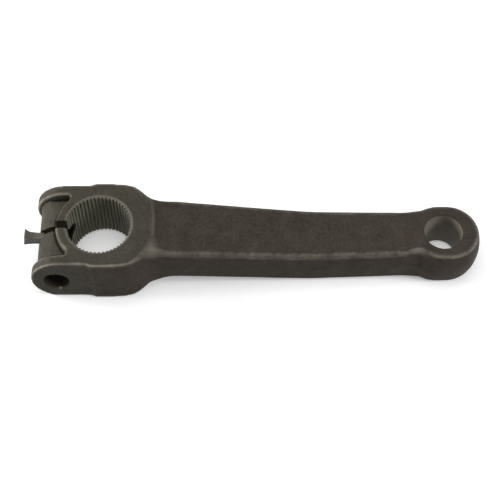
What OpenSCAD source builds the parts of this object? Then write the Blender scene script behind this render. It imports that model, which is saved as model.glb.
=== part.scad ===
/* [Serrated bore] */
// Radius to the lands of the serrations, which grip the sector shaft
land_r = 15.6; // [13:0.1:18]
// Depth of each serration groove behind the lands
groove_depth = 0.9; // [0.5:0.1:1.5]
// Number of serrations around a full turn
serrations = 51; // [36:1:60]
// Part of each pitch that the groove takes at the lands
groove_share = 0.62; // [0.4:0.02:0.8]
// Radial size of the lead-in at each end of the bore
lead_in_w = 1.5; // [1:0.1:2.5]
// Depth of the lead-in at each end of the bore
lead_in_depth = 0.8; // [0.4:0.1:1.5]

/* [Clamp head] */
// Height of the head along the bore
head_h = 30.6; // [28:0.2:36]
// Wall between the serrations and the head's forged sides
side_wall = 7.3; // [6:0.1:10]
// Wall between the serrations and the head's round end at the shank
end_wall = 10.7; // [8:0.1:13]
// Wall of the round lip that is left around the bore beside the barrel
lip_wall = 4.8; // [3.5:0.1:6]
// Rounding of the top and bottom edges at the round end
head_edge_r = 1.2; // [0.6:0.1:2.5]

/* [Clamp ears] */
// Width of the slit that lets the head close on the shaft
slit_w = 3.5; // [2.5:0.1:5]
// Wall between the bolt hole and the ends of the ears
ear_end_wall = 5.3; // [4:0.1:7]
// Thickness of the flange at each side of the barrel
flange_t = 5.6; // [4.5:0.1:7]
// Radius of the barrel between the flanges
barrel_r = 13; // [12:0.1:13.6]
// How far the barrel stops short of the ears' ends
barrel_step = 1.9; // [1.2:0.1:3]
// Fillet where the barrel meets the flanges
barrel_fillet = 2; // [0.8:0.1:3]
// Depth of the milled face on each side of the ears
flat_depth = 0.8; // [0.4:0.1:2]
// Distance that the milled faces stop short of the bore axis
flat_stop = 5; // [0:0.5:9]

/* [Clamp bolt hole] */
// Diameter of the clamp bolt hole
bolt_hole_d = 12.8; // [10.5:0.1:13.5]
// How far the bolt hole cuts into the bore, to key the bolt in the shaft's groove
bolt_bite = 0.8; // [0.5:0.1:1.5]
// How far the bolt hole lies below the middle of the head
bolt_drop = 1.5; // [0:0.1:2]
// Chamfer at each mouth of the bolt hole
bolt_chamfer = 0.5; // [0.2:0.1:1]

/* [Shank] */
// Thickness of the shank
shank_t = 22; // [18:0.1:23]
// Width of the shank where it leaves the head
shank_root_w = 32.9; // [28:0.1:35]
// Width of the shank at its neck by the eye
shank_neck_w = 25.8; // [22:0.2:27]
// Radius of the shank's long edges
shank_edge_r = 2.3; // [1.5:0.1:5]
// How far the sides swell to the parting line of the forging dies
parting_swell = 0.6; // [0.2:0.1:1]
// Radius of the fillets between the head and the shank's sides and underside
root_fillet = 16; // [12:0.5:18]
// How far the fillets run along the shank's sides, past the head
side_reach = 4; // [2:0.5:6]
// How far the fillet runs along the shank's underside, past the head
under_reach = 12.8; // [8:0.2:16]
// Height of the shank's middle above the head's middle, where it leaves the head
root_rise = 2.5; // [0:0.1:3]
// Distance of the bend from the bore axis
bend_x = 105; // [90:1:125]
// How far the bend lies below the head's middle
bend_drop = 4.85; // [0:0.05:7]
// How gently the shank turns at the bend
bend_softness = 0.25; // [0.2:0.05:1]

/* [Eye] */
// Distance between the axes of the bore and the eye
eye_x = 171.3; // [160:0.1:200]
// How far the eye's middle lies below the head's middle
eye_drop = 3.2; // [0:0.1:6]
// Height of the eye's boss
eye_t = 23.5; // [23.2:0.1:26]
// Diameter of the tapered hole below the chamfer of its wide upper mouth
eye_top_d = 19.2; // [15:0.1:21]
// Diameter of the tapered hole above the chamfer of its narrow lower mouth
eye_bottom_d = 17.6; // [13:0.1:19]
// Chamfer at each mouth of the tapered hole
eye_chamfer = 0.7; // [0.3:0.1:1.2]
// Wall of the boss beside the hole
eye_wall = 5.75; // [4.5:0.05:7]
// Extra length of the boss along the arm
eye_stretch = 4.8; // [2:0.1:8]
// How far the boss's side swells to the parting line
eye_swell = 1.5; // [0.3:0.1:2]
// Rounding of the boss's edges
eye_edge_r = 1.5; // [0.8:0.1:2.5]

/* [Slit wedge] */
// Height of the wedge where it enters the slit
wedge_h = 2.9; // [2:0.1:4]
// Clearance between the wedge and each wall of the slit
wedge_gap = 0.05; // [0.02:0.01:0.15]
// Length of the wedge that stands out of the ears' ends
wedge_out = 7.2; // [5:0.1:10]
// How far the wedge stops short of the bolt hole
wedge_stop = 0.8; // [0.3:0.1:1.5]
// Height of the wedge's middle above the head's middle
wedge_rise = 1.9; // [0:0.1:3]
// Widening of each side at the wedge's hammered end
wedge_flare = 0.9; // [0.3:0.1:1.5]
// Upward lean of the wedge's hammered end
wedge_lift = 2; // [0:0.1:2.5]

/* [Hidden] */
$fn = 96;
// Overlap that keeps cuts clear of the faces that they start from
cut = 2;
// Overlap that joins shapes which meet
merge = 0.5;
root_r = land_r + groove_depth;
head_r = root_r + end_wall;
head_w = 2 * (root_r + side_wall);
lip_r = root_r + lip_wall;
bolt_r = bolt_hole_d / 2;
bolt_x = -(land_r + bolt_r - bolt_bite);
ear_end_x = bolt_x - bolt_r - ear_end_wall;
// The ears' round ends are a little larger than half the head's height
ear_crown = 0.2;
ear_r = head_h / 2 + ear_crown;
ear_x = ear_end_x + ear_r;
barrel_x = ear_end_x + barrel_step + barrel_r;
flat_y = head_w / 2 - flat_depth;
pocket_y = flat_y - flange_t;
// Corner radius of the pocket between each flange and the lip
pocket_corner_r = 1.8;
eye_r = eye_top_d / 2 + eye_wall;
eye_z = -eye_drop;
// The shank starts inside the head and ends inside the eye's boss
root_bury = 15;
root_inset = 2;
neck_inset = 1.25;
shank_from = head_r - root_bury;
shank_to = eye_x - eye_stretch / 2;
neck_x = eye_x - eye_r - eye_stretch;
// How the shank's width falls off: 1 is a straight taper
width_ease = 1.15;
// Part of the fillets' radius that is used before they run into the head
fillet_share = 0.7;
shank_rings = 36;
corner_steps = 5;
wedge_w = slit_w - 2 * wedge_gap;
// Part of the wedge's free length that keeps its section before the end spreads
wedge_straight = 0.6;
// How far the spread end's top leans back, and its waist before the end
wedge_lean = 0.8;
wedge_waist = 0.3;

forged_steel = "#4B4741";
bright_steel = "#6A655E";

// Height of the shank's middle at x: two straight runs that meet in a soft bend
function first_run(x) = root_rise - (root_rise + bend_drop) * (x - head_r) / (bend_x - head_r);
function second_run(x) = -bend_drop + (bend_drop - eye_drop) * (x - bend_x) / (eye_x - bend_x);
function bent(a, b) = (a + b) / 2 + sqrt(pow((a - b) / 2, 2) + pow(bend_softness, 2));
function shank_z(x) = bent(first_run(max(x, head_r)), second_run(x));

// Half-width of the shank at x, with the fillet at the head and the swell at the eye
function share(x, from, to) = min(1, max(0, (x - from) / (to - from)));
function smooth(t) = t * t * (3 - 2 * t);
function root_flare(x, end) = root_fillet - sqrt(pow(root_fillet, 2)
    - pow(min(root_fillet * fillet_share, max(0, end - x)), 2));
function shank_half_w(x) = min(head_w / 2 - root_inset, shank_neck_w / 2
    + (shank_root_w - shank_neck_w) / 2 * pow(1 - share(x, head_r, neck_x), width_ease)
    + root_flare(x, head_r + side_reach)
    + (eye_r - neck_inset - shank_neck_w / 2) * smooth(share(x, neck_x, shank_to)));

// One ring of the shank's section, counter-clockwise as seen from the eye
function ring(x) = let (
    w = shank_half_w(x), r = shank_edge_r, z = shank_z(x),
    top = z + shank_t / 2 - r,
    low = z - shank_t / 2 + r - root_flare(x, head_r + under_reach)
) [
    for (corner = [[1, top, 0], [-1, top, 90], [-1, low, 180], [1, low, 270]]) each [
        for (i = [0 : corner_steps]) let (a = corner[2] + 90 * i / corner_steps)
            [x, corner[0] * (w - r) + r * cos(a), corner[1] + r * sin(a)],
        if (corner[2] == 90) [x, -w - parting_swell, z],
        if (corner[2] == 270) [x, w + parting_swell, z]
    ]
];

// Rings lie closer together at the shank's ends, where its width changes most
function ring_x(i) = (shank_from + shank_to) / 2 - (shank_to - shank_from) / 2 * cos(180 * i / shank_rings);

module shank() {
    rings = [for (i = [0 : shank_rings]) ring(ring_x(i))];
    n = len(rings[0]);
    sides = [for (i = [0 : shank_rings - 1], k = [0 : n - 1])
        let (a = i * n + k, b = i * n + (k + 1) % n) [a, a + n, b + n, b]];
    near_cap = [for (k = [0 : n - 1]) k];
    far_cap = [for (k = [n - 1 : -1 : 0]) shank_rings * n + k];
    polyhedron([for (r = rings) each r], concat(sides, [near_cap, far_cap]));
}

// Half of a rounded disc's section, for turning about its axis
module disc_half(r, h, edge) {
    translate([0, -h / 2]) square([r - edge, h]);
    translate([0, edge - h / 2]) square([r, h - 2 * edge]);
    for (side = [-1, 1]) translate([r - edge, side * (h / 2 - edge)]) circle(edge);
}

module eye_boss() {
    side_h = eye_t - 2 * eye_edge_r;
    bulge_r = (pow(side_h / 2, 2) + pow(eye_swell, 2)) / 2 / eye_swell;
    hull()
        for (side = [-1, 1])
            translate([eye_x + side * eye_stretch / 2, 0, eye_z])
                rotate_extrude($fn = 56) {
                    disc_half(eye_r, eye_t, eye_edge_r, $fn = 20);
                    intersection() {
                        translate([eye_r + eye_swell - bulge_r, 0]) circle(bulge_r);
                        translate([0, -side_h / 2]) square([eye_r + eye_swell, side_h]);
                    }
                }
}

// Section of the barrel between the flanges, with its end fillets, for turning about the ears' axis
module barrel_half() {
    translate([0, -pocket_y]) square([barrel_r, 2 * pocket_y]);
    for (side = [0, 1]) mirror([0, side])
        difference() {
            translate([barrel_r - merge, pocket_y - barrel_fillet])
                square([barrel_fillet + merge, barrel_fillet + merge]);
            translate([barrel_r + barrel_fillet, pocket_y - barrel_fillet]) circle(barrel_fillet);
        }
}

// Outline of the pocket between the flanges, outside the lip
module pocket_outline() {
    corner_y = pocket_y - pocket_corner_r;
    corner_x = -sqrt(pow(lip_r + pocket_corner_r, 2) - pow(corner_y, 2));
    touch = lip_r / (lip_r + pocket_corner_r) * [corner_x, corner_y];
    difference() {
        union() {
            translate([ear_end_x - cut, -pocket_y]) square([corner_x - ear_end_x + cut, 2 * pocket_y]);
            for (side = [0, 1]) mirror([0, side]) {
                translate([corner_x, corner_y]) circle(pocket_corner_r);
                polygon([[corner_x, corner_y], touch, [corner_x, corner_y - 2 * pocket_corner_r]]);
            }
        }
        circle(lip_r);
    }
}

module pocket() {
    difference() {
        linear_extrude(head_h + 2 * cut, center = true) pocket_outline();
        translate([barrel_x, 0, 0]) rotate([90, 0, 0]) rotate_extrude() barrel_half();
    }
}

module head() {
    difference() {
        union() {
            intersection() {
                rotate_extrude() disc_half(head_r, head_h, head_edge_r);
                cube([2 * head_r + cut, head_w, head_h + cut], center = true);
            }
            intersection() {
                union() {
                    translate([ear_x, -head_w / 2, -head_h / 2]) cube([-ear_x, head_w, head_h]);
                    translate([ear_x, 0, 0]) rotate([90, 0, 0])
                        cylinder(r = ear_r, h = head_w, center = true);
                }
                cube([3 * head_r, head_w, head_h], center = true);
            }
        }
        pocket();
    }
}

module serrated_bore() {
    pitch = 360 / serrations;
    half_groove = pitch * groove_share / 2;
    linear_extrude(head_h + 2 * cut, center = true) {
        circle(land_r);
        for (i = [0 : serrations - 1])
            rotate((i + 0.5) * pitch + 90)
                polygon([
                    [land_r - groove_depth, 0],
                    [land_r * cos(half_groove), -land_r * sin(half_groove)],
                    [root_r, 0],
                    [land_r * cos(half_groove), land_r * sin(half_groove)]
                ]);
    }
    // Lead-in cones, carried past the faces at the same slope
    slope = lead_in_w / lead_in_depth;
    for (side = [0, 1]) mirror([0, 0, side])
        translate([0, 0, head_h / 2 - lead_in_depth])
            cylinder(r1 = land_r, r2 = land_r + slope * (lead_in_depth + cut), h = lead_in_depth + cut);
}

module slit() {
    translate([ear_end_x - cut, -slit_w / 2, -head_h / 2 - cut]) cube([-ear_end_x, slit_w, head_h + 2 * cut]);
}

module bolt_hole() {
    translate([bolt_x, 0, -bolt_drop]) rotate([90, 0, 0]) {
        cylinder(r = bolt_r, h = head_w + 2 * cut, center = true);
        for (side = [0, 1]) mirror([0, 0, side])
            translate([0, 0, flat_y - bolt_chamfer])
                cylinder(r1 = bolt_r, r2 = bolt_r + bolt_chamfer + cut, h = bolt_chamfer + cut);
    }
}

module milled_faces() {
    for (side = [0, 1]) mirror([0, side, 0])
        translate([ear_end_x - cut, flat_y, -head_h / 2 - cut])
            cube([-ear_end_x - flat_stop + cut, flat_depth + cut, head_h + 2 * cut]);
}

module eye_hole() {
    taper_h = eye_t - 2 * eye_chamfer;
    mouth_h = eye_chamfer + cut;
    slope = (eye_top_d - eye_bottom_d) / 2 / taper_h;
    translate([eye_x, 0, eye_z]) {
        translate([0, 0, -taper_h / 2 - mouth_h])
            cylinder(r1 = eye_bottom_d / 2 - slope * mouth_h, r2 = eye_top_d / 2 + slope * mouth_h,
                     h = taper_h + 2 * mouth_h);
        translate([0, 0, taper_h / 2])
            cylinder(r1 = eye_top_d / 2, r2 = eye_top_d / 2 + mouth_h, h = mouth_h);
        translate([0, 0, -taper_h / 2 - mouth_h])
            cylinder(r1 = eye_bottom_d / 2 + mouth_h, r2 = eye_bottom_d / 2, h = mouth_h);
    }
}

// The forged arm, machined at its bore, slit, bolt hole, faces and eye
module arm() {
    color(forged_steel)
        difference() {
            union() {
                head();
                shank();
                eye_boss();
            }
            serrated_bore();
            slit();
            bolt_hole();
            milled_faces();
            eye_hole();
        }
}

// A short steel wedge held in the slit, with its outer end spread by hammering
module slit_wedge() {
    root_x = barrel_x - barrel_r;
    in_x = bolt_x - bolt_r - wedge_stop;
    out_x = root_x - wedge_out;
    half_w = wedge_w / 2;
    half_h = wedge_h / 2;
    spread_x = root_x - wedge_out * wedge_straight;
    slab = 2 * (wedge_h + wedge_flare + wedge_lift);
    color(bright_steel)
        translate([0, 0, wedge_rise])
            intersection() {
                linear_extrude(slab, center = true)
                    polygon([
                        [in_x, -half_w], [in_x, half_w], [spread_x, half_w],
                        [out_x, half_w + wedge_flare], [out_x, -half_w - wedge_flare], [spread_x, -half_w]
                    ]);
                rotate([90, 0, 0]) linear_extrude(slab, center = true)
                    polygon([
                        [in_x, -half_h], [in_x, half_h], [root_x, half_h],
                        [spread_x, half_h + wedge_lift / 3],
                        [out_x + wedge_lean, half_h + wedge_flare + wedge_lift],
                        [out_x, half_h + wedge_lift], [out_x, -half_h - wedge_flare / 4],
                        [spread_x, -half_h + wedge_waist], [root_x, -half_h]
                    ]);
            }
}

arm();
slit_wedge();
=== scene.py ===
import math
import bpy
import numpy as np
from mathutils import Matrix, Vector


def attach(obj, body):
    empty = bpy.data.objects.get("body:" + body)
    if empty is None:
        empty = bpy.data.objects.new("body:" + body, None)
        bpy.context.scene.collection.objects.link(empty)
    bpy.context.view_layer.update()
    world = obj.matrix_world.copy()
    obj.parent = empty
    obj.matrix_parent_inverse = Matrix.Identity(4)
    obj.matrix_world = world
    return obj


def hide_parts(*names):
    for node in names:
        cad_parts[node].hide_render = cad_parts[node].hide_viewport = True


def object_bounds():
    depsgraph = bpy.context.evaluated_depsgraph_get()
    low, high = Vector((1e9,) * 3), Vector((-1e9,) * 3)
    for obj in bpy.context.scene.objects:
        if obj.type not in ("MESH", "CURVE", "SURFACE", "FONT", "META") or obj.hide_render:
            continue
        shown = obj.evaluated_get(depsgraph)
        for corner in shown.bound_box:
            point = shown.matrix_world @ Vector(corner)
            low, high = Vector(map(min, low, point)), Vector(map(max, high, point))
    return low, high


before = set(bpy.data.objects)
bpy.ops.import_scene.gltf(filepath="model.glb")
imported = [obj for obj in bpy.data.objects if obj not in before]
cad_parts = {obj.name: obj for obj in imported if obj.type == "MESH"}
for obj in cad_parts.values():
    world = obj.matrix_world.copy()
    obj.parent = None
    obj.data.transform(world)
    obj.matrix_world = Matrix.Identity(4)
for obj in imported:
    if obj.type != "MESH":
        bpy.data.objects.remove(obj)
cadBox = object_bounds()
mm = 0.001
tiny = 0.01 * mm  # closer than this counts as the same place
print("frame loaded:", ", ".join(sorted(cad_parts)))


def metres(values):
    return [v * mm for v in values]


def linear(code):  # sRGB hex to linear RGBA
    parts = [int(code[i:i + 2], 16) / 255 for i in (1, 3, 5)]
    return [p / 12.92 if p <= 0.04045 else ((p + 0.055) / 1.055) ** 2.4 for p in parts] + [1.0]


def addNode(tree, kind, settings=None, links=None):
    node = tree.nodes.new(kind)
    for key, value in (settings or {}).items():
        if key == "stops":  # a ramp's (place, hex) pairs
            band = node.color_ramp.elements
            while len(band) < len(value):
                band.new(1.0)
            for stop, (place, code) in zip(band, value):
                stop.position, stop.color = place, linear(code)
        elif isinstance(key, int) or key in node.inputs:
            node.inputs[key].default_value = value
        else:
            setattr(node, key, value)
    for key, source in (links or {}).items():  # a node stands for its first output
        tree.links.new(getattr(source, "outputs", [source])[0], node.inputs[key])
    return node


def newFinish(name):  # a material with an empty node tree
    finish = bpy.data.materials.new(name)
    finish.use_nodes = True
    finish.node_tree.nodes.clear()
    return finish, finish.node_tree


def letGo():  # nothing selected, object mode
    if bpy.context.object and bpy.context.object.mode != "OBJECT":
        bpy.ops.object.mode_set(mode="OBJECT")
    bpy.ops.object.select_all(action="DESELECT")


def only(obj):
    letGo()
    obj.select_set(True)
    bpy.context.view_layer.objects.active = obj


def settle(name):  # the new primitive gets its name, and its place goes into its mesh
    obj = bpy.context.object
    obj.name = obj.data.name = name
    bpy.ops.object.transform_apply(location=True, rotation=True, scale=True)
    return obj


def block(name, low, high):
    letGo()
    bpy.ops.mesh.primitive_cube_add(size=1, location=metres((a + b) / 2 for a, b in zip(low, high)))
    bpy.context.object.scale = metres(b - a for a, b in zip(low, high))
    return settle(name)


def rod(name, radius, length, middle, along="Z", sides=128, farRadius=None):  # a cone where the far radius differs
    letGo()
    turn = {"X": (0, math.pi / 2, 0), "Y": (-math.pi / 2, 0, 0), "Z": (0, 0, 0)}[along]
    bpy.ops.mesh.primitive_cone_add(
        vertices=sides, radius1=radius * mm, radius2=(radius if farRadius is None else farRadius) * mm,
        depth=length * mm, location=metres(middle), rotation=turn)
    return settle(name)


def upright(name, x, wide, low, top, rows=1):  # a flat section across the arm, in one or more rows of faces
    letGo()
    bpy.ops.mesh.primitive_grid_add(x_subdivisions=rows, y_subdivisions=1, size=1, rotation=(0, math.pi / 2, 0),
                                    location=metres((x, 0, (top + low) / 2)))
    bpy.context.object.scale = ((top - low) * mm, 2 * wide * mm, 1)
    return settle(name)


def pick(obj, kind, test):  # edit mode, with only the verts, edges or faces that pass the test
    only(obj)
    bpy.ops.object.mode_set(mode="EDIT")
    bpy.ops.mesh.select_mode(type=kind)
    bpy.ops.mesh.select_all(action="DESELECT")
    bpy.ops.object.mode_set(mode="OBJECT")
    mesh = obj.data
    group = {"VERT": mesh.vertices, "EDGE": mesh.edges, "FACE": mesh.polygons}[kind]
    for item in group:
        item.select = test(item)
    bpy.ops.object.mode_set(mode="EDIT")


def closeUp():  # every face of the edited mesh looks outwards
    bpy.ops.mesh.select_all(action="SELECT")
    bpy.ops.mesh.normals_make_consistent(inside=False)


def drawOut(stations):  # extrudes the picked faces from station to station, each (x, half-width, low, top)
    for (lastX, lastWide, lastLow, lastTop), (x, wide, low, top) in zip(stations, stations[1:]):
        shift = metres((x - lastX, 0, ((top + low) - (lastTop + lastLow)) / 2))
        bpy.ops.mesh.extrude_region_move(TRANSFORM_OT_translate={"value": shift})
        bpy.ops.transform.resize(value=(1, wide / lastWide, (top - low) / (lastTop - lastLow)),
                                 center_override=metres((x, 0, (top + low) / 2)))
    closeUp()


def trim(obj, place, normal):  # cuts off what lies on the normal's side, and closes the cut
    pick(obj, "FACE", lambda face: True)
    bpy.ops.mesh.bisect(plane_co=metres(place), plane_no=normal, use_fill=True, clear_outer=True)
    bpy.ops.object.mode_set(mode="OBJECT")


def finishWith(obj, kind, **settings):  # adds a modifier and applies it
    only(obj)
    tool = obj.modifiers.new(kind.lower(), kind)
    for key, value in settings.items():
        setattr(tool, key, value)
    bpy.ops.object.modifier_apply(modifier=tool.name)


def fuse(name, parts):
    only(parts[0])
    for part in parts:
        part.select_set(True)
    bpy.ops.object.join()
    parts[0].name = parts[0].data.name = name
    return parts[0]


def carve(obj, cutter):
    finishWith(obj, "BOOLEAN", operation="DIFFERENCE", solver="MANIFOLD", object=cutter)
    bpy.data.objects.remove(cutter, do_unlink=True)


def ease(x, start, end):  # 0 before the start, 1 after the end
    along = min(1, max(0, (x - start) / (end - start)))
    return along * along * (3 - 2 * along)


# The camera stands where the photograph was taken, worked out from the rims of the bore, eye and bolt hole
lens = {"place": (71.7, -325.9, 533.4), "elevation": 59.02, "azimuth": -0.55, "roll": 0.48,
        "focal": 89.35, "sensor": 36, "clip": (0.01, 50)}
cameraData = bpy.data.cameras.new("camera")
cameraData.lens, cameraData.sensor_width = lens["focal"], lens["sensor"]
cameraData.clip_start, cameraData.clip_end = lens["clip"]
camera = bpy.data.objects.new("camera", cameraData)
bpy.context.scene.collection.objects.link(camera)
camera.matrix_world = (
    Matrix.Translation(Vector(lens["place"]) * mm)
    @ Matrix.Rotation(math.radians(lens["azimuth"]), 4, "Z")
    @ Matrix.Rotation(math.radians(90 - lens["elevation"]), 4, "X")
    @ Matrix.Rotation(math.radians(lens["roll"]), 4, "Z"))
bpy.context.scene.camera = camera
bpy.context.scene.view_settings.view_transform = "Standard"
print("camera placed")

# Clamp head of the forging, before it is machined
head = {"height": 30.6, "end": 26.8, "bulge": 2.9, "roundFrom": 4.0, "halfWidth": 24.1, "lip": 21.3,
        "lipEdge": 0.9, "lipSteps": 2,
        "earX": -17.5, "ear": 15.9, "earZ": -0.7, "sides": 160, "barrelX": -18.0, "barrel": 13.0, "barrelTop": 11.6,
        "barrelSink": 1.0, "flat": 23.0, "flatStop": -5.4, "ramp": 2.6, "pocket": 17.4, "pocketEnd": -15.2,
        "wallFrom": 12.0}
half = head["height"] / 2
headParts = []
lip = rod("lip", head["lip"], head["height"], (0, 0, 0), sides=head["sides"])
lipVerts = lip.data.vertices
pick(lip, "EDGE", lambda edge: abs(lipVerts[edge.vertices[0]].co.z - lipVerts[edge.vertices[1]].co.z) < tiny)
bpy.ops.mesh.bevel(offset=head["lipEdge"] * mm, segments=head["lipSteps"], affect="EDGES")
bpy.ops.object.mode_set(mode="OBJECT")
headParts.append(lip)
barrel = rod("barrel", head["barrel"], 2 * (head["pocket"] + head["barrelSink"]), (head["barrelX"], 0, 0), along="Y")
pick(barrel, "FACE", lambda face: True)
bpy.ops.transform.resize(value=(1, 1, head["barrelTop"] / head["barrel"]), center_override=(0, 0, 0))
bpy.ops.object.mode_set(mode="OBJECT")
headParts.append(barrel)
for side in (-1, 1):
    inner, outer = head["pocket"], head["flat"]
    lowY, highY = sorted((side * inner, side * outer))
    headParts.append(rod("flange", head["ear"], outer - inner, (head["earX"], side * (inner + outer) / 2, head["earZ"]),
                         along="Y", sides=head["sides"]))
    trim(headParts[-1], (0, 0, half), (0, 0, 1))
    trim(headParts[-1], (0, 0, -half), (0, 0, -1))
    headParts.append(block("flangeRoot", (head["earX"], lowY, -half), (head["flatStop"], highY, half)))
    wallLow, wallHigh = sorted((side * head["wallFrom"], side * outer))
    headParts.append(block("sideWall", (head["pocketEnd"], wallLow, -half), (head["flatStop"], wallHigh, half)))
outline = [(head["flatStop"], head["flat"]), (head["flatStop"] + head["ramp"], head["halfWidth"])]
for turn in range(0, 87, 3):  # degrees; the end is fuller than a circle, where it runs into the shank
    along = math.sin(math.radians(turn))
    outline.append((head["roundFrom"] + (head["end"] - head["roundFrom"]) * along,
                    head["halfWidth"] * (1 - along ** head["bulge"]) ** (1 / head["bulge"])))
roundEnd = upright("roundEnd", head["flatStop"], head["flat"], -half, half)
pick(roundEnd, "FACE", lambda face: True)
drawOut([(x, wide, -half, half) for x, wide in outline])
bpy.ops.object.mode_set(mode="OBJECT")
headParts.append(roundEnd)
print("clamp head blocked out")

# Shank: one section is extruded from the head to the eye, and leans down to the bend and up again
shank = {"from": 12.0, "to": 168.9, "steps": 44, "thick": 22.0, "rootWidth": 32.9, "neckWidth": 25.8, "ease": 1.15,
         "rootX": 27.2, "neckX": 151.2, "rise": 2.5, "bendX": 105.0, "drop": 4.85, "soft": 0.25,
         "eyeX": 171.3, "eyeDrop": 3.2, "fillet": 16.0, "filletRun": 11.2, "sideReach": 31.2, "underReach": 40.0,
         "boss": 14.1, "swell": 1.045, "edge": 2.3, "edgeSteps": 5, "edgeDepth": 4.0,
         "climbFrom": 149.0, "climbTo": 160.0, "climbTop": 8.5, "pinch": 0.16, "near": 0.5}


def flare(x, end):  # fillet that widens the shank towards the head
    run = min(shank["filletRun"], max(0.0, end - x))
    return shank["fillet"] - math.sqrt(shank["fillet"] ** 2 - run ** 2)


def shankWidth(x):
    along = min(1, max(0, (x - shank["rootX"]) / (shank["neckX"] - shank["rootX"])))
    swell = ease(x, shank["neckX"], shank["to"])
    root, neck = shank["rootWidth"] / 2, shank["neckWidth"] / 2
    return (neck + (root - neck) * (1 - along) ** shank["ease"] + flare(x, shank["sideReach"])
            + (shank["boss"] - neck) * swell)


def shankMiddle(x):
    falling = (max(x, shank["rootX"]) - shank["rootX"]) / (shank["bendX"] - shank["rootX"])
    rising = (x - shank["bendX"]) / (shank["eyeX"] - shank["bendX"])
    down = shank["rise"] - (shank["rise"] + shank["drop"]) * falling
    up = -shank["drop"] + (shank["drop"] - shank["eyeDrop"]) * rising
    return (down + up) / 2 + math.sqrt(((down - up) / 2) ** 2 + shank["soft"] ** 2)


def shankSection(x):  # half-width, bottom and top; the top runs out softly into the boss
    middle = shankMiddle(x)
    top = middle + shank["thick"] / 2
    top += (shank["climbTop"] - top) * ease(x, shank["climbFrom"], shank["climbTo"])
    return shankWidth(x), middle - shank["thick"] / 2 - flare(x, shank["underReach"]), top


stations = [shank["from"] + (shank["to"] - shank["from"]) * i / shank["steps"] for i in range(shank["steps"] + 1)]
sections = [(x, *shankSection(x)) for x in stations]
shankBar = upright("shank", *sections[0], rows=2)
pick(shankBar, "FACE", lambda face: True)
drawOut(sections)


def onParting(vert):  # the line halfway up each side
    x, y, z = (c / mm for c in vert.co)
    wide, low, top = shankSection(x)
    return abs(z - (top + low) / 2) < shank["near"]


pick(shankBar, "VERT", onParting)
bpy.ops.transform.resize(value=(1, shank["swell"], 1), center_override=(0, 0, 0))
corners = shankBar.data.vertices


def longEdge(edge):
    a, b = (corners[i].co / mm for i in edge.vertices)
    return abs(a.x - b.x) > shank["near"] and not onParting(corners[edge.vertices[0]])


pick(shankBar, "EDGE", longEdge)
bpy.ops.mesh.bevel(offset=shank["edge"] * mm, segments=shank["edgeSteps"], affect="EDGES")
for x, wide, low, top in sections[1:]:  # the near upper edge draws in where it runs up to the boss
    draw = 1 - shank["pinch"] * ease(x, shank["climbFrom"], shank["climbTo"])
    if draw < 1:
        pick(shankBar, "VERT", lambda vert: abs(vert.co.x / mm - x) < shank["near"] and vert.co.y < 0
             and vert.co.z / mm > top - shank["edgeDepth"])
        bpy.ops.transform.resize(value=(1, draw, 1), center_override=(0, 0, 0))
bpy.ops.object.mode_set(mode="OBJECT")
print("shank drawn out:", len(shankBar.data.polygons), "faces")

# Boss of the eye: a disc extruded up in steps, swelling to the parting line, then pulled long
boss = {"x": 171.3, "low": -14.95, "high": 8.55, "radius": 15.35, "swell": 1.5, "edge": 1.5, "steps": 8, "sides": 96,
        "stretch": 2.4, "rimStretch": 0.4, "rimFrom": -2.0, "rimTo": 7.5,
        "fade": ((1.0, -20, 3), (0.66, 3, 7), (0.33, 7, 11))}
flatRadius = boss["radius"] - boss["edge"]
sideLow, sideHigh = boss["low"] + boss["edge"], boss["high"] - boss["edge"]
quarter = [math.radians(30 * i) for i in range(4)]  # a rounded edge in three steps
profile = []
for a in quarter:
    profile.append((flatRadius + boss["edge"] * math.sin(a), sideLow - boss["edge"] * math.cos(a)))
for i in range(1, boss["steps"]):
    t = 2 * i / boss["steps"] - 1
    profile.append((boss["radius"] + boss["swell"] * (1 - t * t),
                    (sideLow + sideHigh) / 2 + t * (sideHigh - sideLow) / 2))
for a in quarter:
    profile.append((flatRadius + boss["edge"] * math.cos(a), sideHigh + boss["edge"] * math.sin(a)))
letGo()
bpy.ops.mesh.primitive_circle_add(vertices=boss["sides"], radius=profile[0][0] * mm, fill_type="NGON",
                                  location=metres((boss["x"], 0, profile[0][1])))
eyeBoss = settle("eyeBoss")
pick(eyeBoss, "FACE", lambda face: True)
for (lastR, lastZ), (r, z) in zip(profile, profile[1:]):
    bpy.ops.mesh.extrude_region_move(TRANSFORM_OT_translate={"value": (0, 0, (z - lastZ) * mm)})
    bpy.ops.transform.resize(value=(r / lastR, r / lastR, 1), center_override=metres((boss["x"], 0, z)))
closeUp()
for side in (-1, 1):
    pick(eyeBoss, "VERT", lambda vert: side * (vert.co.x - boss["x"] * mm) > tiny)
    bpy.ops.transform.translate(value=(side * boss["stretch"] * mm, 0, 0))
for r, z in profile:  # less so towards the upper rim beside the shank, where the far side keeps its length
    back = (boss["stretch"] - boss["rimStretch"]) * ease(z, boss["rimFrom"], boss["rimTo"])
    for share, nearY, farY in boss["fade"] if back > 0 else ():
        pick(eyeBoss, "VERT", lambda vert: vert.co.x < (boss["x"] - 1) * mm and abs(vert.co.z - z * mm) < tiny
             and nearY <= vert.co.y / mm < farY)
        bpy.ops.transform.translate(value=(back * share * mm, 0, 0))
bpy.ops.object.mode_set(mode="OBJECT")
print("eye boss turned")

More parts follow.
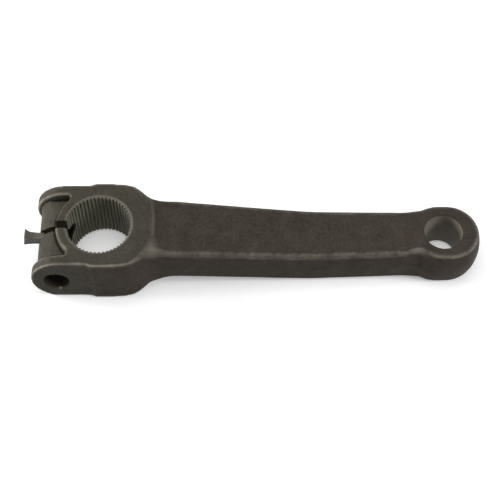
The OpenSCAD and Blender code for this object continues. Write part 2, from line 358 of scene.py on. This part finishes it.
# The parts are fused into one forged skin whose edges and corners are rounded, as dies leave them
skin = {"voxel": 0.56, "rounding": 5, "push": 0.5, "wave": (14.0, 0.16), "pit": (2.6, 0.06), "edgeMarkSpread": 3,
        "smoothAngle": 32, "blendFrom": 15.0, "stepFrom": 21.5, "blendTo": 33.0, "underStep": 12.0, "blend": 11,
        "fade": 1.4, "feather": 5,
        "spots": (((28.0, -14.0, 13.0), 8.5, 34), ((157.5, 13.0, 6.0), 7.0, 8), ((158.0, -11.5, 6.5), 6.0, 9)),
        "bossFrom": 151.0, "bossTo": 163.0, "bossLow": 5.5, "bossWide": 9.0, "bossBlend": 14}
arm = fuse("pitmanArm", headParts + [shankBar, eyeBoss])
finishWith(arm, "REMESH", mode="VOXEL", voxel_size=skin["voxel"] * mm)
finishWith(arm, "SMOOTH", factor=skin["push"], iterations=skin["rounding"])


def headMeetsShank(vert, reach):  # the step on top and the hollow sides, which the die draws softly
    x, y, z = (c / mm for c in vert.co)
    start = skin["blendFrom"] if abs(z) < skin["underStep"] else skin["stepFrom"]
    return start - reach < x < skin["blendTo"] + reach


for reach in range(4):  # a wider zone each time, so that the blend fades out
    pick(arm, "VERT", lambda vert: headMeetsShank(vert, reach * skin["fade"]))
    bpy.ops.mesh.vertices_smooth(factor=skin["push"], repeat=skin["blend"])
for middle, size, blend in skin["spots"]:  # the near end of the step, and both sides where the shank meets the boss
    for reach in (0, 1, 2, -1, -2):  # the two widest rings are only feathered
        pick(arm, "VERT", lambda vert: (vert.co / mm - Vector(middle)).length < size - reach * skin["fade"])
        bpy.ops.mesh.vertices_smooth(factor=skin["push"], repeat=blend if reach >= 0 else skin["feather"])
for reach in range(3):  # the boss's rim dies away into the top of the shank
    pick(arm, "VERT", lambda vert: skin["bossFrom"] - reach < vert.co.x / mm < skin["bossTo"] + reach
         and vert.co.z / mm > skin["bossLow"] and abs(vert.co.y) / mm < skin["bossWide"] + reach)
    bpy.ops.mesh.vertices_smooth(factor=skin["push"], repeat=skin["bossBlend"])
bpy.ops.object.mode_set(mode="OBJECT")
for grain, depth in (skin["wave"], skin["pit"]):
    relief = bpy.data.textures.new("forgedRelief", "CLOUDS")
    relief.noise_scale, relief.noise_depth = grain * mm, 1
    finishWith(arm, "DISPLACE", texture=relief, texture_coords="LOCAL", strength=depth * mm, mid_level=0.5)

# How far each point of the skin stands above its neighbours is kept as an attribute: edges are painted paler there,
# partly as wear to bare steel and partly as painted highlight
points = len(arm.data.vertices)
coords, normals, pairs = np.empty(points * 3), np.empty(points * 3), np.empty(len(arm.data.edges) * 2, int)
arm.data.vertices.foreach_get("co", coords)
arm.data.vertices.foreach_get("normal", normals)
arm.data.edges.foreach_get("vertices", pairs)
oneEnd, otherEnd = pairs[::2], pairs[1::2]
neighbours = np.bincount(pairs, minlength=points)


def around(values):  # mean of the neighbours
    sums = np.bincount(oneEnd, values[otherEnd], points) + np.bincount(otherEnd, values[oneEnd], points)
    return sums / neighbours


stand = np.zeros(points)
for axis in range(3):
    stand += (coords[axis::3] - around(coords[axis::3])) * normals[axis::3] / mm
for turn in range(skin["edgeMarkSpread"]):
    stand = (stand + around(stand)) / 2
arm.data.attributes.new("edgeWear", "FLOAT", "POINT").data.foreach_set("value", stand.astype(np.float32))
print("forged skin:", len(arm.data.polygons), "faces")

# Serrated bore: a toothed disc is extruded through the head, and a cone opens each end
bore = {"teeth": 51, "land": 15.6, "root": 16.4, "points": 8, "grooves": (((4, 7), 0.45), ((5, 6), 1.0)),
        "overrun": 2.0, "leadIn": 1.5, "leadDepth": 0.8, "sides": 192}
letGo()
bpy.ops.mesh.primitive_circle_add(vertices=bore["teeth"] * bore["points"], radius=bore["land"] * mm, fill_type="NGON",
                                  location=metres((0, 0, -half - bore["overrun"])))
serrations = settle("serrations")
pitch = 2 * math.pi / bore["teeth"]


def placeInPitch(vert):  # 0 to 7, with a land on 0 to 3 towards +Y and the groove's foot on 5 and 6
    turn = math.atan2(vert.co.y, vert.co.x) - math.pi / 2 + pitch / bore["points"]
    return round(turn / pitch * bore["points"]) % bore["points"]


def openEnds(name, radius, slope, inner, outer, middle, along, sides):  # a cone at both ends of a hole, wide side out
    for side in (-1, 1):
        nearRadius, farRadius = (radius, radius + slope * (outer - inner))[::side]
        spot = list(middle)
        spot["XYZ".index(along)] = side * (inner + outer) / 2
        carve(arm, rod(name, nearRadius, outer - inner, spot, along=along, sides=sides, farRadius=farRadius))


for places, share in bore["grooves"]:
    pick(serrations, "VERT", lambda vert: placeInPitch(vert) in places)
    grow = 1 + share * (bore["root"] / bore["land"] - 1)
    bpy.ops.transform.resize(value=(grow, grow, 1), center_override=(0, 0, 0))
pick(serrations, "FACE", lambda face: True)
through = head["height"] + 2 * bore["overrun"]
bpy.ops.mesh.extrude_region_move(TRANSFORM_OT_translate={"value": (0, 0, through * mm)})
closeUp()
bpy.ops.object.mode_set(mode="OBJECT")
carve(arm, serrations)
openEnds("leadIn", bore["land"], bore["leadIn"] / bore["leadDepth"], half - bore["leadDepth"], half + bore["overrun"],
         (0, 0, 0), "Z", bore["sides"])

# Groove round the outside of the lip
overrun = 3.0  # how far a cutter goes past the surface that it opens
lipGroove = {"inner": 21.35, "outer": 22.7, "floor": 10.4, "core": 24.3, "stop": -12.0, "side": 15.6}
for side in (-1, 1):
    middle = (0, 0, side * (lipGroove["floor"] + half + overrun) / 2)
    ring = rod("lipGroove", lipGroove["outer"], half + overrun - lipGroove["floor"], middle)
    carve(ring, rod("lipCore", lipGroove["inner"], lipGroove["core"], middle))
    trim(ring, (lipGroove["stop"], 0, 0), (1, 0, 0))
    for edge in (1, -1):
        trim(ring, (0, edge * lipGroove["side"], 0), (0, edge, 0))
    carve(arm, ring)

# A deeper run of the pocket beside each flange, above and below
pocketFoot = {"low": 9.6, "inner": 15.4, "outer": 17.2, "from": -31.0, "to": -15.5}
for side in (-1, 1):
    lowY, highY = sorted((side * pocketFoot["inner"], side * pocketFoot["outer"]))
    for level in (-1, 1):
        lowZ, highZ = sorted((level * pocketFoot["low"], level * (half + overrun)))
        carve(arm, block("pocketFoot", (pocketFoot["from"], lowY, lowZ), (pocketFoot["to"], highY, highZ)))

# Slit from outside the flanges into the bore, wider at its mouth and about the wedge
slit = {"width": 2.8, "mouth": 4.2, "mouthX": -21.4, "seat": 4.1, "seatX": -28.2, "outside": -40.0, "inside": -4.0}
for name, fromX, toX, wide in (("slitCut", slit["outside"], slit["inside"], slit["width"]),
                               ("slitMouth", slit["mouthX"], slit["inside"], slit["mouth"]),
                               ("wedgeSeat", slit["outside"], slit["seatX"], slit["seat"])):
    carve(arm, block(name, (fromX, -wide / 2, -half - overrun), (toX, wide / 2, half + overrun)))

# Bolt hole through both flanges, with a relief in the barrel and an opened mouth at each end
bolt = {"x": -21.2, "z": -1.5, "radius": 6.4, "length": 60.0, "chamfer": 0.6, "overrun": 1.0, "sides": 96,
        "reliefX": -19.0, "reliefZ": 1.6, "relief": 5.9, "reliefLength": 17.0}
for name, radius, length, x, z in (
        ("boltHole", bolt["radius"], bolt["length"], bolt["x"], bolt["z"]),
        ("boltRelief", bolt["relief"], bolt["reliefLength"], bolt["reliefX"], bolt["reliefZ"])):
    carve(arm, rod(name, radius, length, (x, 0, z), along="Y", sides=bolt["sides"]))
openEnds("boltMouth", bolt["radius"], 1, head["flat"] - bolt["chamfer"], head["flat"] + bolt["overrun"],
         (bolt["x"], 0, bolt["z"]), "Y", bolt["sides"])

# Tapered eye, wide at the top, with both rims broken
eye = {"top": 9.6, "bottom": 8.8, "chamfer": 0.7, "overrun": 4.0, "mouth": 3.0}
taperLow, taperHigh = boss["low"] + eye["chamfer"], boss["high"] - eye["chamfer"]
fall = (eye["top"] - eye["bottom"]) / (taperHigh - taperLow)
for name, radius, farRadius, fromZ, toZ in (
        ("eyeTaper", eye["bottom"] - eye["overrun"] * fall, eye["top"] + eye["overrun"] * fall,
         taperLow - eye["overrun"], taperHigh + eye["overrun"]),
        ("eyeMouth", eye["top"], eye["top"] + eye["mouth"], taperHigh, taperHigh + eye["mouth"]),
        ("eyeFoot", eye["bottom"] + eye["mouth"], eye["bottom"], taperLow - eye["mouth"], taperLow)):
    carve(arm, rod(name, radius, toZ - fromZ, (boss["x"], 0, (fromZ + toZ) / 2), farRadius=farRadius))
print("machined:", len(arm.data.polygons), "faces")

only(arm)
bpy.ops.object.shade_smooth_by_angle(angle=math.radians(skin["smoothAngle"]))
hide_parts("arm")
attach(arm, "root")

# Wedge in the slit: a bar drawn out of its root, with its end hammered wide
wedge = {"inner": -28.4, "edge": 0.2, "edgeSteps": 3, "smoothAngle": 40, "lean": 1.1, "leanFrom": -34.5,
         "stations": ((-31.1, 2.0, -0.2, 4.2), (-33.2, 2.0, -0.2, 4.6), (-35.3, 2.03, -0.25, 5.1),
                      (-36.9, 2.15, -0.3, 5.8), (-38.0, 2.3, -0.35, 6.7), (-38.75, 2.4, -0.4, 7.2))}
firstX, wide, low, top = wedge["stations"][0]
lastX = wedge["stations"][-1][0]
slitWedge = block("slitWedge", (firstX, -wide, low), (wedge["inner"], wide, top))
pick(slitWedge, "FACE", lambda face: face.normal.x < -0.9)
drawOut(wedge["stations"])
for x, wide, low, top in wedge["stations"][::-1]:  # the struck end leans back
    lean = wedge["lean"] * ease(x, wedge["leanFrom"], lastX)
    if lean > 0:
        pick(slitWedge, "VERT", lambda vert: abs(vert.co.x - x * mm) < tiny and vert.co.z / mm > (low + top) / 2)
        bpy.ops.transform.translate(value=(lean * mm, 0, 0))
finishWith(slitWedge, "BEVEL", width=wedge["edge"] * mm, segments=wedge["edgeSteps"], limit_method="ANGLE",
           angle_limit=math.radians(wedge["smoothAngle"]))
only(slitWedge)
bpy.ops.object.shade_smooth_by_angle(angle=math.radians(wedge["smoothAngle"]))
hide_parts("slit_wedge")
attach(slitWedge, "root")
print("wedge drawn out")

# Drop-forged steel under an oiled phosphate coat: near-black brown and matt, as its crystals leave almost no gloss.
# It is mottled by scale, and greyer where the clamp end, top and bottom are milled. The open edges are painted paler
# in patches, partly as wear to dull bare steel and partly as painted highlight, less so in the clamp pocket, which is
# painted in shade. The slopes beside the head and the boss carry a painted highlight, and one painted glint sits under
# the bolt hole. The grain is drawn at about a millimetre, far coarser than the real crystals, which are too fine to
# show.
forged = {"mottle": (8.0, 5, 0.62), "grain": (1.2, 3, 0.6), "grainShare": 0.55, "toneFrom": 0.36, "toneTo": 0.64,
          "scale": ("#36302B", "#49433D"), "milled": ("#3C3932", "#4C4941"), "rubAndHighlight": "#857F75", "glint": "#B5B0A6",
          "milledFrom": (-4.0, -6.5), "rimLow": (12.6, 14.4), "rimHigh": (14.5, 15.2), "rimShare": 0.3,
          "slope": (0.97, 0.86), "gentle": (0.988, 0.94), "steep": (0.2, 0.55),
          "wearAndHighlight": (0.008, 0.04), "patchy": (0.38, 0.56, 0.55), "pocketShade": (1.1, 0.7), "fall": (1.25, 0.25),
          "ragged": 0.5,
          "spots": (("shadedPocket", (-20.0, 8.5, 12.0), (10.0, 10.5, 8.0), 0.85),
                    ("shadedPocket", (-24.0, -17.2, 13.5), (11.0, 2.3, 4.5), 0.7),
                    ("shadedPocket", (-19.5, -9.0, 13.5), (4.5, 8.0, 4.5), 0.35),
                    ("highlitSlope", (27.2, -13.4, 13.6), (8.5, 8.0, 6.0), 0.64),
                    ("highlitSlope", (36.0, -15.2, 12.2), (18.0, 3.2, 3.8), 0.42),
                    ("highlitSlope", (22.0, -16.2, 14.4), (6.5, 3.4, 3.2), 0.42),
                    ("highlitSlope", (157.5, -10.5, 7.5), (7.0, 5.0, 4.0), 0.6),
                    ("glint", (-19.9, -23.0, -7.3), (1.0, 1.6, 2.4), 1.0)),
          "rough": (0.45, 0.6), "level": 0.035, "bump": 0.05, "bumpShare": 0.6}
coat, tree = newFinish("phosphatedForgedSteel")
here = addNode(tree, "ShaderNodeTexCoord")
place = here.outputs["Object"]
mottle, grain = [
    addNode(tree, "ShaderNodeTexNoise", {"Scale": 1 / (size * mm), "Detail": detail, "Roughness": roughness},
            {"Vector": place}) for size, detail, roughness in (forged["mottle"], forged["grain"])]
blotch = addNode(tree, "ShaderNodeMix", {0: forged["grainShare"]}, {2: mottle, 3: grain})
scaleTone, milledTone = [
    addNode(tree, "ShaderNodeValToRGB", {"stops": ((forged["toneFrom"], dark), (forged["toneTo"], pale))},
            {"Fac": blotch}) for dark, pale in (forged["scale"], forged["milled"])]
along = addNode(tree, "ShaderNodeSeparateXYZ", None, {"Vector": place})
height = addNode(tree, "ShaderNodeMath", {"operation": "ABSOLUTE"}, {0: along.outputs["Z"]})
facing = addNode(tree, "ShaderNodeSeparateXYZ", None, {"Vector": here.outputs["Normal"]})
facing = addNode(tree, "ShaderNodeMath", {"operation": "ABSOLUTE"}, {0: facing.outputs["Z"]})
masks = {}
for name, source, (start, end), share in (
        ("rimRise", height, metres(forged["rimLow"]), forged["rimShare"]),
        ("planes", height, metres(forged["rimHigh"]), 1.0), ("sloping", facing, forged["slope"], 1.0),
        ("gentle", facing, forged["gentle"], 1.0), ("flank", facing, forged["steep"], 1.0)):
    masks[name] = addNode(tree, "ShaderNodeMapRange", {"interpolation_type": "SMOOTHSTEP", "From Min": start,
                                                       "From Max": end, "To Max": share}, {"Value": source})
start, end = metres(forged["milledFrom"])
clampEnd = addNode(tree, "ShaderNodeMapRange", {"From Min": start, "From Max": end}, {"Value": along.outputs["X"]})
milled = addNode(tree, "ShaderNodeMath", {"operation": "MAXIMUM"}, {0: masks["planes"], 1: clampEnd})
# A band along the rims of the top and bottom faces, painted paler as wear and as painted highlight
rimBand = addNode(tree, "ShaderNodeMath", {"operation": "MULTIPLY"}, {0: masks["rimRise"], 1: masks["sloping"]})
stood = addNode(tree, "ShaderNodeAttribute", {"attribute_name": "edgeWear"})
start, end = forged["wearAndHighlight"]
wornAndHighlit = addNode(tree, "ShaderNodeMapRange", {"From Min": start, "From Max": end}, {"Value": stood.outputs["Fac"]})
bareAndHighlit = addNode(tree, "ShaderNodeMath", {"operation": "MAXIMUM"}, {0: rimBand, 1: wornAndHighlit})
# The wear and painted highlight on the edges are broken into patches
start, end, least = forged["patchy"]
patchy = addNode(tree, "ShaderNodeMapRange", {"From Min": start, "From Max": end, "To Min": least}, {"Value": mottle})
bareAndHighlit = addNode(tree, "ShaderNodeMath", {"operation": "MULTIPLY"}, {0: bareAndHighlit, 1: patchy})
bevel = addNode(tree, "ShaderNodeMath", {"operation": "MULTIPLY"}, {0: masks["gentle"], 1: masks["flank"]})
# Painted shade in the clamp pocket, painted highlights on the slopes, and a painted glint under the bolt hole
for kind, middle, size, share in forged["spots"]:
    spot = addNode(tree, "ShaderNodeMapping", {"vector_type": "TEXTURE", "Location": metres(middle),
                                               "Scale": metres(size)}, {"Vector": place})
    reach = addNode(tree, "ShaderNodeVectorMath", {"operation": "LENGTH"}, {0: spot}).outputs["Value"]
    if kind == "shadedPocket":  # painted shade: takes the painted highlight and wear of the edges away in the pocket
        start, end = forged["pocketShade"]
        kept = addNode(tree, "ShaderNodeMapRange", {"From Min": start, "From Max": end, "To Min": 1.0,
                                                    "To Max": 1 - share}, {"Value": reach})
        bareAndHighlit = addNode(tree, "ShaderNodeMath", {"operation": "MULTIPLY"}, {0: bareAndHighlit, 1: kept})
        continue
    start, end = forged["fall"]
    ragged = addNode(tree, "ShaderNodeMath", {"operation": "MULTIPLY_ADD", 1: forged["ragged"]}, {0: mottle, 2: reach})
    ground = addNode(tree, "ShaderNodeMapRange", {"From Min": start, "From Max": end, "To Max": share},
                     {"Value": ragged})
    if kind == "highlitSlope":  # a painted highlight, only on the slopes
        ground = addNode(tree, "ShaderNodeMath", {"operation": "MULTIPLY"}, {0: ground, 1: bevel})
        bareAndHighlit = addNode(tree, "ShaderNodeMath", {"operation": "MAXIMUM"}, {0: bareAndHighlit, 1: ground})
    else:
        # a painted glint on the lower rim of the bolt hole
        glint = ground
tone = addNode(tree, "ShaderNodeMix", {"data_type": "RGBA"}, {0: milled, 6: scaleTone, 7: milledTone})
# Edges and slopes are painted towards the paler colour, as wear and painted highlight, and the painted glint goes on
# last
for mask, colour in ((bareAndHighlit, forged["rubAndHighlight"]), (glint, forged["glint"])):
    tone = addNode(tree, "ShaderNodeMix", {"data_type": "RGBA", 7: linear(colour)}, {0: mask, 6: tone.outputs[2]})
start, end = forged["rough"]
rough = addNode(tree, "ShaderNodeMapRange", {"To Min": start, "To Max": end}, {"Value": grain})
bump = addNode(tree, "ShaderNodeBump", {"Strength": forged["bumpShare"], "Distance": forged["bump"] * mm},
               {"Height": grain})
surface = addNode(tree, "ShaderNodeBsdfPrincipled", {"Specular IOR Level": forged["level"]},
                  {"Base Color": tone.outputs[2], "Roughness": rough, "Normal": bump})
addNode(tree, "ShaderNodeOutputMaterial", None, {"Surface": surface})
arm.data.materials.clear()
arm.data.materials.append(coat)

# Steel in streaks, for the cut faces and the wedge: smoother than the forging, with a little more gloss. The streaks
# are drawn at about half a millimetre, coarser than real tool lines, which are too fine to show.
streaks = {"stops": (0.3, 0.7), "bump": 0.03, "bumpShare": 0.4}


def streakedSteel(name, lines, detail, dark, pale, rough, level, underShade=None):  # last argument: colour of a painted shade towards the bottom, and the heights where it starts and ends
    finish, tree = newFinish(name)
    place = addNode(tree, "ShaderNodeTexCoord").outputs["Object"]
    drawn = addNode(tree, "ShaderNodeMapping", {"Scale": [1 / (size * mm) for size in lines]}, {"Vector": place})
    toolLines = addNode(tree, "ShaderNodeTexNoise", {"Scale": 1.0, "Detail": detail}, {"Vector": drawn})
    tone = addNode(tree, "ShaderNodeValToRGB", {"stops": list(zip(streaks["stops"], (dark, pale)))},
                   {"Fac": toolLines}).outputs["Color"]
    # painted shade, darker towards the bottom
    if underShade:
        colour, start, end = underShade
        height = addNode(tree, "ShaderNodeSeparateXYZ", None, {"Vector": place})
        shadedBelow = addNode(tree, "ShaderNodeMapRange", {"From Min": start * mm, "From Max": end * mm},
                       {"Value": height.outputs["Z"]})
        tone = addNode(tree, "ShaderNodeMix", {"data_type": "RGBA", 7: linear(colour)}, {0: shadedBelow, 6: tone}).outputs[2]
    roughness = addNode(tree, "ShaderNodeMapRange", {"To Min": rough[0], "To Max": rough[1]}, {"Value": toolLines})
    bump = addNode(tree, "ShaderNodeBump", {"Strength": streaks["bumpShare"], "Distance": streaks["bump"] * mm},
                   {"Height": toolLines})
    surface = addNode(tree, "ShaderNodeBsdfPrincipled", {"Specular IOR Level": level},
                      {"Base Color": tone, "Roughness": roughness, "Normal": bump})
    addNode(tree, "ShaderNodeOutputMaterial", None, {"Surface": surface})
    return finish


# Cut faces under the same coat: the lines run as the broach, reamer, drill, saw or turning tool went. The broached and
# reamed walls are painted paler than the skin as painted light, and the turned lead-in as a painted highlight; the
# drilled and sawn ones are painted dark as shade in the hole and slit.
cutSteel = {"detail": 3, "rough": (0.4, 0.52), "level": 0.15}
cutFaces = {"broachedSerrations": ((0.5, 0.5, 12.0), "#6C6A5C", "#7F7D6D"),
            "reamedTaper": ((12.0, 12.0, 0.5), "#777166", "#888277"),
            "drilledHole": ((10.0, 0.6, 10.0), "#322E27", "#433E35"),
            "sawnSlit": ((8.0, 8.0, 0.6), "#2B2620", "#38322A"),
            "turnedLeadIn": ((3.0, 3.0, 0.5), "#57534A", "#676259")}
for name, (lines, dark, pale) in cutFaces.items():
    arm.data.materials.append(streakedSteel(name + "Steel", lines, cutSteel["detail"], dark, pale, cutSteel["rough"],
                                            cutSteel["level"]))
cutEdge = {"slack": 0.02, "boltSlack": 0.05, "level": 0.3, "sideways": 0.9}


def cutBy(face):  # the finish that a tool left on this face, or None on the forged skin
    x, y, z = (c / mm for c in face.center)
    slack = cutEdge["slack"]
    standing = abs(face.normal.z) < cutEdge["level"]
    if math.hypot(x, y) < bore["land"] + bore["leadIn"] + slack:
        return "broachedSerrations" if standing else "turnedLeadIn"
    if math.hypot(x - boss["x"], y) < eye["top"] + eye["chamfer"] + slack:
        return "reamedTaper" if standing else None
    if x < 0 and abs(y) < slit["mouth"] / 2 + slack and abs(face.normal.y) > cutEdge["sideways"]:
        return "sawnSlit"
    if math.hypot(x - bolt["x"], z - bolt["z"]) < bolt["radius"] + cutEdge["boltSlack"]:
        return "drilledHole"
    inRelief = math.hypot(x - bolt["reliefX"], z - bolt["reliefZ"]) < bolt["relief"] + slack
    if inRelief and abs(y) < bolt["reliefLength"] / 2 + slack:  # painted shade, as dark as the slit
        return "sawnSlit"
    return None


slots = {name: i + 1 for i, name in enumerate(cutFaces)}
for face in arm.data.polygons:
    face.material_index = slots.get(cutBy(face), 0)

# Bare rolled steel bar of the wedge: greyer than the forging, streaked lengthwise, with painted shade along its lower
# edge
wedgeBar = {"dark": "#5C5A53", "pale": "#757269", "underShade": ("#2B2824", 2.3, 0.9), "lines": (9.0, 0.5, 0.5), "detail": 4,
            "rough": (0.4, 0.55), "level": 0.2}
slitWedge.data.materials.append(
    streakedSteel("rolledWedgeSteel", wedgeBar["lines"], wedgeBar["detail"], wedgeBar["dark"], wedgeBar["pale"],
                  wedgeBar["rough"], wedgeBar["level"], wedgeBar["underShade"]))
print("finishes on")

# Studio: a faint even sky, a broad lamp overhead, a small one in front above and one to each side
studio = {"sky": 0.08, "white": "#FFFFFF", "aim": (0.07, 0, 0),
          "lamps": {"overhead": ((0.07, 0.05, 1.0), 0.6, 4.2), "front": ((0.07, -0.5, 0.75), 0.3, 0.3),
                    "left": ((-0.55, 0.08, 0.2), 0.3, 4.4), "right": ((0.75, -0.18, 0.42), 0.25, 3.2)}}


def seenDirectly(tree):  # 1 for what the camera sees, also in or through a surface, and 0 for what only lights
    path = addNode(tree, "ShaderNodeLightPath")
    seen = path.outputs["Is Camera Ray"]
    for ray in ("Is Glossy Ray", "Is Transmission Ray"):
        seen = addNode(tree, "ShaderNodeMath", {"operation": "MAXIMUM"}, {0: seen, 1: path.outputs[ray]})
    return seen


world = bpy.data.worlds.new("studio")
bpy.context.scene.world = world
world.use_nodes = True
tree = world.node_tree
tree.nodes.clear()
skyLight, backdrop = [
    addNode(tree, "ShaderNodeBackground", {"Color": linear(studio["white"]), "Strength": strength})
    for strength in (studio["sky"], 1.0)]
both = addNode(tree, "ShaderNodeMixShader", None, {0: seenDirectly(tree), 1: skyLight, 2: backdrop})
addNode(tree, "ShaderNodeOutputWorld", None, {"Surface": both})
for name, (spot, size, watts) in studio["lamps"].items():
    lampData = bpy.data.lights.new(name, "AREA")
    lampData.size, lampData.energy = size, watts
    lamp = bpy.data.objects.new(name, lampData)
    bpy.context.scene.collection.objects.link(lamp)
    lamp.location = spot
    lamp.rotation_euler = (Vector(studio["aim"]) - Vector(spot)).to_track_quat("-Z", "Y").to_euler()
print("studio lit")

# Plain white floor under the lowest point of the boss; part of its white is its own, so the shadow stays soft
floorSheet = {"side": 6.0, "gap": 0.05, "glow": 0.3, "white": "#FFFFFF", "grey": "#F2F2F2"}
letGo()
bpy.ops.mesh.primitive_plane_add(size=floorSheet["side"],
                                 location=(studio["aim"][0], 0, cadBox[0][2] - floorSheet["gap"] * mm))
floor = settle("floor")
paper, tree = newFinish("whitePaperFloor")
matt = addNode(tree, "ShaderNodeBsdfDiffuse", {"Color": linear(floorSheet["grey"])})
glow = addNode(tree, "ShaderNodeEmission", {"Color": linear(floorSheet["white"]), "Strength": floorSheet["glow"]})
lifted = addNode(tree, "ShaderNodeAddShader", None, {0: matt, 1: glow})
both = addNode(tree, "ShaderNodeMixShader", None, {0: seenDirectly(tree), 1: matt, 2: lifted})
addNode(tree, "ShaderNodeOutputMaterial", None, {"Surface": both})
floor.data.materials.append(paper)
